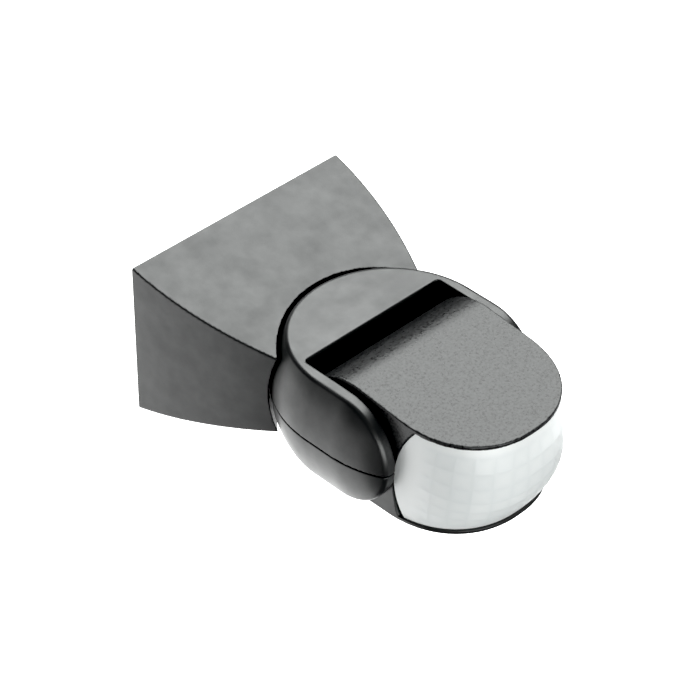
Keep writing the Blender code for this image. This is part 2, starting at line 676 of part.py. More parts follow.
def make_axles():
    for side, out in (("left", -1), ("right", 1)):
        start = HEAD_HALF_W - HEAD_WALL - GAP - AXLE_FLANGE
        end = SLOT_HALF_W + SLOT_WALL + 2 * GAP + TILT_RING
        profile = [(AXLE_BORE, start), (AXLE_FLANGE_R, start), (AXLE_FLANGE_R,
                   start + AXLE_FLANGE), (AXLE_R, start + AXLE_FLANGE), (AXLE_R, end),
                   (AXLE_FLANGE_R, end), (AXLE_FLANGE_R, end + AXLE_FLANGE),
                   (AXLE_BORE, end + AXLE_FLANGE)]
        add(f"tilt_axle_{side}", swept([(r, h * out) for r, h in profile], (0, TILT_Y, 0), "x"),
            "head", ACETAL, smooth=True)


def block(name, x0, x1, y0, y1, z0, z1, finish, round_by=0.0):
    obj = add(name, box(x0, x1, y0, y1, z0, z1), "head", finish)
    return bevel(obj, round_by, 1) if round_by else obj


def make_boards():
    top = MAIN_BOARD_Z + BOARD
    half, back = 19 * WIDE, BOARD_BACK_Y
    main_board = block("main_board", -half, half, -97, back, MAIN_BOARD_Z, top, FR4)
    for n, (x, y) in enumerate(CASE_SCREWS):
        cut(main_board, add(f"board_notch_{n}", rod(POST_R + GAP, -20, 0, (x, y, 0), steps=20),
                            "head"))
    for n, (x, y) in enumerate(BOARD_SCREWS):
        cut(main_board, add(f"board_hole_{n}", rod(1.3, -20, 0, (x, y, 0), steps=16), "head"))
        screw(f"board_screw_{n + 1}", (x, y, top + GAP + 1.3), "z", 2.2, 1.3, 1.0, 5.6, "head",
              point=-1)
    seat_z = top + GAP
    front = HEAD_FRONT_Y - 0.4
    block("sensor_board", -11, 11, front - BOARD, front, seat_z, BARREL_R - 5.45, FR4)
    face = front - BOARD - GAP
    profile = [(0, 0), (PYRO_R + 0.5, 0), (PYRO_R + 0.5, -0.6), (PYRO_R, -0.6),
               (PYRO_R, -4.0), (PYRO_R - 0.4, -4.4), (0, -4.4)]
    can = add("pyro_can", swept(profile, (0, face, PYRO_Z), "y", steps=28), "head", STEEL,
              smooth=True)
    cut(can, add("pyro_recess", box(-2.3, 2.3, face - 5, face - 3.6, PYRO_Z - 1.8,
                                    PYRO_Z + 1.8), "head"))
    block("pyro_window", -2.1, 2.1, face - 4.3, face - 3.8, PYRO_Z - 1.6, PYRO_Z + 1.6, SILICON)
    for name, x0, x1, y0, y1, high, finish, round_by in (
            ("relay", -2.0, 8.5, -80.5, back - 3.4, BARREL_R - 9.45, NYLON, 0.5),
            ("lead_connector", -18.8, -13.8, -71.4, -65.4, CONNECTOR_TOP, NYLON, 0.4),
            ("control_chip", -9.6, 9.6, -95.6, -89.4, seat_z + 3.2, EPOXY_BLACK, 0.4)):
        block(name, x0 * WIDE, x1 * WIDE, y0, y1, seat_z, high, finish, round_by)
    block("film_capacitor", 11 - HEAD_HALF_W, 18 - HEAD_HALF_W, -79.0, back - 3.4, seat_z,
          BARREL_R - 11.45, EPOXY, 0.8)
    tall, r = BARREL_R - 12.95 - seat_z, 4.0 * WIDE
    profile = [(0, 0), (r, 0), (r, 1.2), (r - 0.3, 1.6), (r, 2.0), (r, tall - 0.4),
               (r - 0.4, tall), (0, tall)]
    add("smoothing_capacitor", swept(profile, (14.0 * WIDE, -68.6, seat_z), steps=24), "head",
        SLEEVE, smooth=True)
    profile = [(0, 0), (1.9, 0), (1.9, 0.9), (1.5, 0.9)] + [
        (1.5 * cos(t), 3.6 + 1.5 * sin(t)) for t in (0, radians(30), radians(60))] + [(0, 5.1)]
    add("indicator_led", swept(profile, (13.0 * WIDE, -91.5, seat_z), steps=16), "head",
        LED_RED, smooth=True)
    profile = [(0, 0), (2.5, 0), (2.5, 1.7), (2.2, 2.0), (0, 2.0)]
    add("light_sensor", swept(profile, (-13.5 * WIDE, -91.0, seat_z), steps=20), "head", EPOXY,
        smooth=True)


def make_knobs():
    """Three adjusters under the head, each on the shaft of a small potentiometer."""
    floor = floor_z(KNOB_Y)
    under = MAIN_BOARD_Z - GAP
    shaft_end, base = under - 6.2, under - 4.0
    for name, spot in zip(KNOBS, KNOB_SPREAD):
        x = spot * KNOB_PITCH
        pot = block(f"{name}_potentiometer", x - 3.4, x + 3.4, KNOB_Y - 3.4, KNOB_Y + 3.4, base,
                    under, EPOXY_BLACK)
        join(pot, add(f"{name}_shaft", rod(0.9, shaft_end, base + 1, (x, KNOB_Y, 0), steps=12),
                      "head"))
        body = f"{name}_knob"
        pivot(body, "head", (x, KNOB_Y, 0))
        r, low, high = KNOB_R - 0.9 - GAP, floor - 0.5, base - GAP
        profile = [(0, low), (r - 0.4, low), (r, low + 0.4), (r, high), (1.2, high),
                   (1.2, shaft_end - GAP), (0, shaft_end - GAP)]
        knob = add(body, swept(profile, (x, KNOB_Y, 0), steps=24), body, ACETAL, smooth=True)
        join(knob, add(f"{name}_grip", box(x - 0.75, x + 0.75, KNOB_Y - r + 0.5,
                                           KNOB_Y + r - 0.5, low - 1.1, low + 1), body))


def make_head():
    make_case("head_upper_case", 1)
    make_case("head_lower_case", -1)
    make_lens()
    make_lens_retainer()
    make_axles()
    make_boards()
    make_knobs()
    for n, (x, y) in enumerate(CASE_SCREWS):
        screw(f"case_screw_{n + 1}", (x, y, floor_z(y) + 0.6), "z", 2.5, 1.5, 1.1, 19, "head")
    end = -SLOT_HALF_W - SLOT_WALL - 3 * GAP - TILT_RING - 0.8
    drop = CONNECTOR_TOP + GAP
    path = [(-22, 0, 0), (-18.3, 0.2, drop / 26), (-16.6, 0.6, drop * 4 / 13), (-16.2, 0.9, drop)]
    tube("head_lead", [(end, TILT_Y, 0)] + [(x * WIDE, TILT_Y + y, z) for x, y, z in path], 1.4,
         "head", PVC)


def main():
    pivot("yoke", None, (0, PAN_Y, 0))
    pivot("head", "yoke", (0, TILT_Y, 0), REST_TILT)
    make_bracket()
    make_yoke()
    make_head()


clear_scene()
PARTS = new_collection("Motion sensor")
HELPERS = new_collection("Cutters", helper=True)
ABS = material("Anthracite ABS", (0.045, 0.047, 0.048), 0.42)
HDPE = material("White HDPE", (0.80, 0.82, 0.82), 0.35)
RUBBER = material("Black rubber", (0.02, 0.02, 0.02), 0.8)
NYLON = material("Natural nylon", (0.62, 0.62, 0.58), 0.5)
ACETAL = material("Black acetal", (0.03, 0.03, 0.03), 0.35)
PVC = material("Grey PVC", (0.35, 0.35, 0.35), 0.5)
STEEL = material("Zinc-plated steel", (0.6, 0.6, 0.6), 0.3, 1.0)
FR4 = material("Green circuit board", (0.03, 0.16, 0.06), 0.45)
EPOXY = material("Ochre epoxy", (0.55, 0.27, 0.05), 0.4)
EPOXY_BLACK = material("Black epoxy", (0.02, 0.02, 0.022), 0.4)
SLEEVE = material("Blue sleeve", (0.03, 0.06, 0.22), 0.35)
SILICON = material("Silicon filter", (0.08, 0.08, 0.10), 0.15, 0.6)
LED_RED = material("Red epoxy", (0.6, 0.03, 0.02), 0.2)
main()
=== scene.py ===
"""The looks of a wall-mounted outdoor motion sensor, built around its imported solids.

Lengths inside this file are in millimetres until a mesh is made, and X runs across the sensor,
-Y out into the room and Z up. The shells are rebuilt here with their rounded edges, the small
inner parts keep their solids, and everything gets its own moulded, woven or metal surface.
"""

import json
from math import acos, cos, pi, radians, sin, sqrt

import bmesh
import bpy
import numpy as np
from mathutils import Euler, Matrix, Vector


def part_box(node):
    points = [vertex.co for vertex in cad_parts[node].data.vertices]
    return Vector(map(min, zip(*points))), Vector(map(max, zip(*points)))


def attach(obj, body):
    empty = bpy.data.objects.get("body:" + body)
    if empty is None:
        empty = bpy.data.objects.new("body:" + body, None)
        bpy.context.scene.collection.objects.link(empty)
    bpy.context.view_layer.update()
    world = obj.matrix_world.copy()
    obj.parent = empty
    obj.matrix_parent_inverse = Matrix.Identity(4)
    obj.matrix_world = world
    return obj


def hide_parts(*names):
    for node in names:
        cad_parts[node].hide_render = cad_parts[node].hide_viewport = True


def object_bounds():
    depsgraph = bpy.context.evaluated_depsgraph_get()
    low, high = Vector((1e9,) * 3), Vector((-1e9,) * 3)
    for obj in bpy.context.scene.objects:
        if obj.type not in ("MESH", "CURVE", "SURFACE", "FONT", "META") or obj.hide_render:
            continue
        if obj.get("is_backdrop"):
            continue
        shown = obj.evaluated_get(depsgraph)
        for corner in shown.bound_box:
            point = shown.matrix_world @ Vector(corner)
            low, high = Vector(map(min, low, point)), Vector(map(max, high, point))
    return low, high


bl_info = {
    "name": "Motion sensor",
    "version": (1, 0, 0),
    "blender": (4, 5, 0),
    "location": "3D View > Sidebar > Motion Sensor",
    "description": "Builds a wall-mounted outdoor motion sensor and the studio round it",
    "category": "Add Mesh",
}

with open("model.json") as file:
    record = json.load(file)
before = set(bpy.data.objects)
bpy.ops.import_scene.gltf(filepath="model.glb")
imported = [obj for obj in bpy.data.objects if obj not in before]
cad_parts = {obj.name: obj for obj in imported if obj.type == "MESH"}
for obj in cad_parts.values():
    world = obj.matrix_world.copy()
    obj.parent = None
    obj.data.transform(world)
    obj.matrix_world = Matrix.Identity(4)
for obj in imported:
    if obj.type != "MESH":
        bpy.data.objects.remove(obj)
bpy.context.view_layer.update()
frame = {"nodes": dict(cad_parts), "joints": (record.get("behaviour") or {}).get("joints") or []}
MM = 0.001


def joint_point(name):
    """Where a joint's axis is, in millimetres."""
    found = next(j for j in frame["joints"] if j["name"] == name)
    return [c / MM for c in found["pos_m"]]


def size_of(node):
    """Lowest and highest corner of a solid, in millimetres."""
    low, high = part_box(node)
    return low / MM, high / MM


def middle_of(node):
    low, high = size_of(node)
    return (low + high) / 2


PAN_Y = joint_point("pan")[1]
TILT_Y = joint_point("tilt")[1]
SHELL_ROOM = 1.3


# ---------------------------------------------------------------- properties
def length(name, description, default):
    return bpy.props.FloatProperty(name=name, description=description, default=default * MM,
                                   min=0.0, unit="LENGTH")


def colour(name, description, code):
    return bpy.props.FloatVectorProperty(name=name, description=description, subtype="COLOR",
                                         size=3, min=0, max=1, default=linear(code))


def linear(code):
    """A hex colour as linear light."""
    parts = [int(code[i:i + 2], 16) / 255 for i in (1, 3, 5)]
    return tuple(c / 12.92 if c <= 0.04045 else ((c + 0.055) / 1.055) ** 2.4 for c in parts)


class ShellSettings(bpy.types.PropertyGroup):
    edge: length("Edge radius", "Rounding of the bracket's long edges", 0.45)
    yoke_edge: length("Yoke edge radius", "Rounding where the ball meets its flat top", 0.8)
    lid_edge: length("Lid edge radius", "Rounding of the lid's rim", 0.38)
    mesh_step: length("Mesh step", "Size of the squares that a shell is made of", 0.45)
    plastic: colour("Plastic", "Colour of the shells", "#101112")


class LensSettings(bpy.types.PropertyGroup):
    facet_depth: length("Facet depth", "How far the middle of a lens facet lies below its rim",
                        0.10)
    white: colour("Lens", "Colour of the lens", "#e2e4e4")


class StageSettings(bpy.types.PropertyGroup):
    floor_drop: length("Floor drop", "How far the floor lies below the sensor", 300)
    floor: colour("Floor", "Colour of the floor", "#f6f6f6")
    floor_glow: bpy.props.FloatProperty(name="Floor glow", default=1.4, min=0,
                                        description="Light that the lit table gives off")
    overhead: bpy.props.FloatProperty(name="Overhead light", default=20.5, min=0, unit="POWER",
                                      description="Power of the large softbox over the sensor")
    side: bpy.props.FloatProperty(name="Side light", default=8.6, min=0, unit="POWER",
                                  description="Power of the softbox before the lens")
    back: bpy.props.FloatProperty(name="Back light", default=0.35, min=0, unit="POWER",
                                  description="Power of the low softbox beside the wall")


# ---------------------------------------------------------------- materials
def add_node(tree, kind, links=None, **settings):
    """Adds one node: settings are its properties, links its sockets' values or sources."""
    made = tree.nodes.new(kind)
    for name, value in settings.items():
        setattr(made, name, value)
    for socket, value in (links or {}).items():
        entry = made.inputs[socket]
        if isinstance(value, bpy.types.NodeSocket):
            tree.links.new(value, entry)
        else:
            entry.default_value = value
    return made


def new_material(name, hexa, roughness, metallic=0.0, ior=1.5, **more):
    made = bpy.data.materials.new(name)
    made.use_nodes = True
    shader = made.node_tree.nodes["Principled BSDF"]
    rgb = linear(hexa) if isinstance(hexa, str) else tuple(hexa)
    shader.inputs["Base Color"].default_value = (*rgb, 1)
    shader.inputs["Roughness"].default_value = roughness
    shader.inputs["Metallic"].default_value = metallic
    if not metallic:
        shader.inputs["IOR"].default_value = ior
    for socket, value in more.items():
        shader.inputs[socket.replace("_", " ")].default_value = value
    made.diffuse_color = (*rgb, 1)
    return made, made.node_tree, shader


def per_mm(size):
    """Texture scale that gives one feature every size millimetres."""
    return 1 / (size * MM)


def place(tree):
    return add_node(tree, "ShaderNodeTexCoord").outputs["Object"]


def noise(tree, size, detail=2.0, roughness=0.5):
    return add_node(tree, "ShaderNodeTexNoise", {
        "Vector": place(tree), "Scale": per_mm(size), "Detail": detail,
        "Roughness": roughness}).outputs["Fac"]


def spread(tree, source, low, high, frm=0.3, to=0.7):
    return add_node(tree, "ShaderNodeMapRange", {
        "Value": source, "From Min": frm, "From Max": to, "To Min": low,
        "To Max": high}).outputs["Result"]


def tint(tree, shader, factor, rgb, strength):
    """Varies the shader's colour by a small share, lighter and darker."""
    mixed = add_node(tree, "ShaderNodeMix", {
        0: factor, 6: (*[c * (1 - strength) for c in rgb], 1),
        7: (*[min(c * (1 + strength), 1) for c in rgb], 1)}, data_type="RGBA")
    tree.links.new(mixed.outputs[2], shader.inputs["Base Color"])


def bump(tree, shader, height, depth, under=None):
    """Presses a height of 0 to 1 into the surface, depth millimetres deep."""
    links = {"Height": height, "Distance": depth * MM, "Strength": 1.0}
    if under:
        links["Normal"] = under
    made = add_node(tree, "ShaderNodeBump", links)
    tree.links.new(made.outputs["Normal"], shader.inputs["Normal"])
    return made.outputs["Normal"]


def moulded_plastic(name, rgb, grain, depth, roughness, mottle=0.06, sink=0.03, speckle=0.0,
                    **more):
    """Injection-moulded plastic: the mould's spark-eroded skin leaves a fine random grain."""
    made, tree, shader = new_material(name, rgb, roughness, **more)
    cloud = noise(tree, 9.0, 3.0)
    if speckle:
        fine = spread(tree, noise(tree, grain, 2.0, 0.7), 0, 1)
        tint(tree, shader, fine, shader.inputs["Base Color"].default_value[:3], speckle)
        gloss = spread(tree, fine, 0.40 - speckle * 0.18, 0.40 + speckle * 0.18, 0, 1)
        tree.links.new(gloss, shader.inputs["Specular IOR Level"])
        shine = spread(tree, fine, roughness - speckle * 0.12, roughness + speckle * 0.12, 0, 1)
    else:
        tint(tree, shader, cloud, shader.inputs["Base Color"].default_value[:3], mottle)
        shine = spread(tree, cloud, roughness - 0.04, roughness + 0.04)
        gloss = spread(tree, noise(tree, 4.0, 4.0), 0.44, 0.54)
        tree.links.new(gloss, shader.inputs["Specular IOR Level"])
    tree.links.new(shine, shader.inputs["Roughness"])
    slow = bump(tree, shader, noise(tree, 14.0, 1.0), sink)
    bump(tree, shader, noise(tree, grain, 3.0, 0.6), depth, slow)
    return made


def make_materials():
    settings = bpy.context.scene.sensor_shell
    lens = bpy.context.scene.sensor_lens
    made = {}
    # ABS with a satin skin: the grain is a quarter millimetre, so gloss breaks up softly
    made["satin"] = moulded_plastic("Moulded ABS satin", settings.plastic, 0.5, 0.006, 0.40)
    # The yoke's mould is smoother, so that it slides in its seat: soft but clear reflections
    made["smooth"] = moulded_plastic("Moulded ABS smooth", settings.plastic, 0.5, 0.003, 0.34)
    # The lid's mould is etched deeper, so it looks matter and speckled
    made["lid"] = moulded_plastic("Moulded ABS etched", settings.plastic, 0.8, 0.035, 0.33,
                                  sink=0.01, speckle=0.8)
    # HDPE is waxy: light goes in and spreads, so it has no hard shade and a soft gloss
    made["lens"] = lens_material("Moulded HDPE lens", lens.white)
    # Unfilled nylon is off-white and slightly waxy
    made["nylon"] = moulded_plastic("Moulded nylon natural", "#d9d8cf", 0.4, 0.004, 0.45)
    # Acetal is slippery and denser, so its gloss is tighter than ABS
    made["acetal"] = moulded_plastic("Moulded acetal black", "#232425", 0.4, 0.003, 0.33)
    # EPDM rubber is matte with a dusty bloom
    made["rubber"] = moulded_plastic("Moulded EPDM rubber", "#1f1f1f", 0.6, 0.012, 0.78, 0.15)
    made["pvc"] = moulded_plastic("Extruded PVC sheath", "#8d8f90", 0.7, 0.006, 0.48)
    # Zinc plating over steel: bright, blue-grey, with a faint turned grain
    made["zinc"] = metal("Zinc-plated steel", "#b9bec2", 0.32)
    made["nickel"] = metal("Nickel-plated can", "#c4c1b8", 0.24)
    made["board"] = board_material("Solder-masked FR4")
    made["ochre"] = moulded_plastic("Dipped ochre epoxy", "#a8661f", 1.2, 0.01, 0.3)
    made["black_epoxy"] = moulded_plastic("Moulded epoxy black", "#1b1c1e", 0.3, 0.006, 0.55)
    made["sleeve"] = moulded_plastic("Shrunk PVC sleeve blue", "#20356a", 1.0, 0.004, 0.3)
    made["silicon"] = metal("Polished silicon filter", "#3a3840", 0.12)
    made["red"] = moulded_plastic("Cast red epoxy", "#c22a20", 2.0, 0.002, 0.15,
                                  Transmission_Weight=0.35)
    made["floor"] = floor_material("Opal acrylic table")
    # Flocked cloth: short pile that swallows light
    made["velvet"] = moulded_plastic("Flocked black velvet", "#060606", 1.5, 0.4, 0.95,
                                     Sheen_Weight=0.05)
    return made


def metal(name, code, roughness):
    made, tree, shader = new_material(name, code, roughness, 1.0)
    grain = noise(tree, 0.35, 4.0, 0.7)
    tree.links.new(spread(tree, grain, roughness - 0.06, roughness + 0.08),
                   shader.inputs["Roughness"])
    bump(tree, shader, grain, 0.003)
    return made


def lens_material(name, rgb):
    """Each facet has its own fine rings on the inside, which show through as faint bands. Each
    facet's rim gets painted shade, a darker and bluer colour.
    """
    made, tree, shader = new_material(name, rgb, 0.36, Subsurface_Weight=0.25,
                                      Subsurface_Scale=0.002, Coat_Weight=0.15,
                                      Coat_Roughness=0.3)
    shader.inputs["Subsurface Radius"].default_value = (1.0, 1.0, 1.0)
    # The facet mesh writes painted shade that grows with how near each point is to a facet's rim
    rim = add_node(tree, "ShaderNodeAttribute", attribute_name="facet_rim").outputs["Fac"]
    shade = add_node(tree, "ShaderNodeAttribute", attribute_name="facet_shade").outputs["Fac"]
    level = add_node(tree, "ShaderNodeMath", {0: rim, 1: shade}, operation="ADD",
                     use_clamp=True).outputs[0]
    mixed = add_node(tree, "ShaderNodeMix", data_type="RGBA")
    tree.links.new(level, mixed.inputs[0])
    mixed.inputs[6].default_value = (*rgb, 1)
    # The darker, bluer colour is painted shade at the facet rims, mixed with each facet's own
    # random tone
    mixed.inputs[7].default_value = (*[c * k for c, k in zip(rgb, (0.76, 0.785, 0.80))], 1)
    tree.links.new(mixed.outputs[2], shader.inputs["Base Color"])
    rings = add_node(tree, "ShaderNodeAttribute", attribute_name="facet_rings").outputs["Fac"]
    fine = bump(tree, shader, rings, 0.004)
    bump(tree, shader, noise(tree, 0.5, 2.0), 0.004, fine)
    return made


def board_material(name):
    """Glass-epoxy board: the weave shows faintly through the green solder mask."""
    made, tree, shader = new_material(name, "#1d5a32", 0.35, Coat_Weight=0.4,
                                      Coat_Roughness=0.2)
    warp, weft = [add_node(tree, "ShaderNodeTexWave", {
        "Vector": place(tree), "Scale": per_mm(6.0), "Distortion": 0.2},
        bands_direction=way).outputs["Fac"] for way in ("X", "Y")]
    weave = add_node(tree, "ShaderNodeMath", {0: warp, 1: weft}, operation="MULTIPLY").outputs[0]
    tint(tree, shader, weave, linear("#1d5a32"), 0.12)
    bump(tree, shader, weave, 0.01)
    return made


def floor_material(name):
    """Opal acrylic table lit from below: even, white and faintly stippled."""
    settings = bpy.context.scene.sensor_stage
    made, tree, shader = new_material(name, settings.floor, 0.9)
    shader.inputs["Emission Color"].default_value = (1, 1, 1, 1)
    shader.inputs["Emission Strength"].default_value = settings.floor_glow
    bump(tree, shader, noise(tree, 3.0, 2.0), 0.02)
    # From beneath, the table is clear, so that the sensor's underside can be looked at
    clear = add_node(tree, "ShaderNodeBsdfTransparent").outputs[0]
    beneath = add_node(tree, "ShaderNodeNewGeometry").outputs["Backfacing"]
    mixed = add_node(tree, "ShaderNodeMixShader", {0: beneath, 1: shader.outputs[0], 2: clear})
    tree.links.new(mixed.outputs[0], tree.nodes["Material Output"].inputs["Surface"])
    return made


# ---------------------------------------------------------------- solids from distances
# A solid is a function of x, y, z in millimetres that is negative inside, and close to the
# distance to its surface near it. Rounded edges then come from how two of them are joined.
def both(radius, *parts):
    """What lies in all of them, with their shared edges rounded."""
    over = sum(np.maximum(p + radius, 0) ** 2 for p in parts)
    return np.minimum(np.maximum.reduce(parts), -radius) + np.sqrt(over)


def either(radius, *parts):
    return -both(radius, *[-p for p in parts])


def less(radius, solid, *cutters):
    return both(radius, solid, *[-c for c in cutters])


def slab(v, low, high):
    return np.maximum(low - v, v - high)


def cylinder(radius, u, v, w, low, high, edge=0.1):
    """A round bar along w."""
    return both(edge, np.hypot(u, v) - radius, slab(w, low, high))


def skin(name, solid, low, high, step):
    """Meshes a solid between two corners with even squares lying exactly on its surface."""
    low, high = np.array(low, float), np.array(high, float)
    count = np.ceil((high - low) / step).astype(int) + 1
    axes = [low[i] + step * np.arange(count[i]) for i in range(3)]
    x, y, z = np.meshgrid(*axes, indexing="ij")
    value = solid(x, y, z)
    inside = value < 0
    # One point for each cell that the surface crosses, at the middle of its crossings
    total = np.zeros(tuple(count - 1) + (3,))
    hits = np.zeros(tuple(count - 1))
    corners = [(i, j, k) for i in (0, 1) for j in (0, 1) for k in (0, 1)]
    pairs = [(a, b) for a in corners for b in corners
             if sum(b) == sum(a) + 1 and all(p <= q for p, q in zip(a, b))]

    def view(grid, corner):
        return grid[tuple(slice(c, c + n - 1) for c, n in zip(corner, count))]

    for a, b in pairs:
        crossed = view(inside, a) != view(inside, b)
        first, second = view(value, a), view(value, b)
        share = np.where(crossed, first / np.where(crossed, first - second, 1), 0)
        hits += crossed
        for axis in range(3):
            total[..., axis] += crossed * (a[axis] + share * (b[axis] - a[axis]))
    cells = np.argwhere(hits > 0)
    number = -np.ones(tuple(count - 1), int)
    number[tuple(cells.T)] = np.arange(len(cells))
    points = low + step * (cells + total[tuple(cells.T)] / hits[tuple(cells.T)][:, None])
    # A square round each grid line that the surface crosses
    faces = []
    for axis in range(3):
        one, two = [a for a in range(3) if a != axis]
        shift = [slice(None)] * 3
        ahead = list(shift)
        shift[axis], ahead[axis] = slice(0, -1), slice(1, None)
        starts = inside[tuple(shift)]
        at = np.argwhere(starts != inside[tuple(ahead)])
        at = at[(at[:, one] > 0) & (at[:, two] > 0)
                & (at[:, one] < count[one] - 1) & (at[:, two] < count[two] - 1)]
        ring = []
        for du, dv in ((0, 0), (1, 0), (1, 1), (0, 1)):
            spot = at.copy()
            spot[:, one] -= du
            spot[:, two] -= dv
            ring.append(number[tuple(spot.T)])
        quads = np.stack(ring, axis=1)
        turn = starts[tuple(at.T)] != (axis == 1)
        quads[~turn] = quads[~turn][:, ::-1]
        faces.append(quads)
    faces = np.concatenate(faces)
    normal = None
    for _ in range(4):
        here = solid(*points.T)
        tiny = 0.01
        normal = np.stack([solid(*(points + tiny * np.eye(3)[i]).T)
                           - solid(*(points - tiny * np.eye(3)[i]).T)
                           for i in range(3)], axis=1) / (2 * tiny)
        steep = np.maximum((normal ** 2).sum(1), 0.05)
        move = -(here / steep)[:, None] * normal
        points += np.clip(move, -0.5 * step, 0.5 * step)
    normal /= np.maximum(np.linalg.norm(normal, axis=1), 1e-6)[:, None]
    mesh = bpy.data.meshes.new(name)
    mesh.from_pydata((points * MM).tolist(), [], faces.tolist())
    mesh.validate()
    mesh.shade_smooth()
    mesh.normals_split_custom_set_from_vertices(normal.tolist())
    return mesh


def shell_mesh(name, node, solid):
    """Meshes a shell in the room that its solid takes, and a little round it."""
    low, high = size_of(node)
    step = bpy.context.scene.sensor_shell.mesh_step / MM
    return skin(name, solid, [c - SHELL_ROOM for c in low], [c + SHELL_ROOM for c in high], step)


def piece(name, mesh, material, body, slot, *stands_for):
    """Adds a piece that moves with a body and stands for its plain solids."""
    made = bpy.data.objects.new(name, mesh)
    bpy.context.scene.collection.objects.link(made)
    if material and not mesh.materials:
        mesh.materials.append(material)
    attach(made, body)
    if stands_for:
        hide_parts(*stands_for)
    return made


# ---------------------------------------------------------------- bracket
WALL_W, WALL_H = 75.0, 48.0
FLANK_LEAN, FLANK_CURVE, ROOF_SLOPE = 0.035, 0.01, 0.264
BRACKET_WALL, BRACKET_LENGTH = 2.6, 52.0
BALL_R, SEAT_GAP, SEAT_FLARE = 32.3, 0.7, 0.25
KEY_WINDOW = (5.6, 7.3)  # half-width and half-height
KEY_WINDOW_Y, KEY_WINDOW_DEEP = -27, 6
COVER_SCREW_SINK, COVER_SCREW_HOLE = 3.0, 1.6


def flank(depth):
    return WALL_W / 2 - FLANK_LEAN * depth - FLANK_CURVE * depth * depth / 2


def roof(depth):
    return WALL_H / 2 - ROOF_SLOPE * depth


def seat(x, y, z, grow=0.0):
    """The round hollow that the yoke turns in."""
    flare = SEAT_FLARE * (z / roof(-PAN_Y - BALL_R / 2)) ** 2
    radius = np.sqrt(np.maximum(BALL_R ** 2 - z * z, 100.0)) + SEAT_GAP + flare + grow
    return np.hypot(x, y - PAN_Y) - radius


def wedge(x, y, z, inset, back, edge):
    depth = np.maximum(-y, 0)
    slope = FLANK_LEAN + FLANK_CURVE * depth
    side = (np.abs(x) - flank(depth) + inset) / np.sqrt(1 + slope ** 2)
    top = (np.abs(z) - roof(depth) + inset) / sqrt(1 + ROOF_SLOPE ** 2)
    return both(edge, side, top, y - back, -y - BRACKET_LENGTH)


def bracket_solid(edge, screws):
    def solid(x, y, z):
        outside = less(0.25, wedge(x, y, z, 0, 0, edge), seat(x, y, z))
        inside = less(0.3, wedge(x, y, z, BRACKET_WALL, 5, 0.6), seat(x, y, z, BRACKET_WALL))
        shell = less(0.2, outside, inside)
        for at in screws:
            u, v = x - at[0], y - at[1]
            floor = -roof(-at[1])
            pad = cylinder(3.6, u, v, z, floor + 1.2, floor + 3.7)
            shell = either(0.3, shell, pad)
            bore = cylinder(COVER_SCREW_HOLE, u, v, z, floor - 5, floor + 9)
            sink = cylinder(COVER_SCREW_SINK, u, v, z, floor - 5, floor + 1.8)
            shell = less(0.2, shell, np.minimum(bore, sink))
        half_w, half_h = KEY_WINDOW
        window = np.maximum.reduce([np.abs(x) - half_w, np.abs(z) - half_h,
                                    np.abs(y - KEY_WINDOW_Y) - KEY_WINDOW_DEEP])
        return less(0.2, shell, window)
    return solid


class SENSOR_OT_bracket(bpy.types.Operator):
    """Builds the wedge-shaped wall bracket"""

    bl_idname = "sensor.bracket"
    bl_label = "Wall bracket"

    def execute(self, context):
        settings = context.scene.sensor_shell
        screws = [middle_of(node)[:2] for node in ("cover_screw_left", "cover_screw_right")]
        mesh = shell_mesh("Wall_bracket", "bracket_shell",
                          bracket_solid(settings.edge / MM, screws))
        piece("Wall_bracket", mesh, FINISH["satin"], "bracket", "anthracite_abs",
              "bracket_shell")
        return {"FINISHED"}


# ---------------------------------------------------------------- yoke
YOKE_HALF_H, YOKE_WALL = 16.1, 1.9
PARTING_Z, PARTING_GAP = -1.0, 0.35
SLOT_HALF_W, SLOT_BACK_Y, SLOT_CORNER, SLOT_WALL = 24.65, -52.1, 1.2, 1.6
BARREL_R, SLOT_CLEAR = 17.75, 0.65
AXLE_HOLE = 6.0
KEY_WAY_HALF_H, KEY_WAY_TURN = 4.5, radians(40.5)


def ball(x, y, z, radius):
    """A ball about the pan axis, drawn out forward to the tilt axis."""
    away = y - np.clip(y, TILT_Y, PAN_Y)
    return np.sqrt(x * x + away * away + z * z) - radius


def side_shape(y, z, half):
    """Flat above and below, with a nose that is round on the tilt axis."""
    return np.hypot(np.minimum(y - TILT_Y, 0), z) - half


def slot_shape(x, y, z, grow, corner):
    back = y - SLOT_BACK_Y - grow
    barrel = np.hypot(y - TILT_Y, z) - (BARREL_R + SLOT_CLEAR + grow)
    reach = either(0.5, back, barrel)
    return both(corner, reach, np.abs(x) - SLOT_HALF_W - grow)


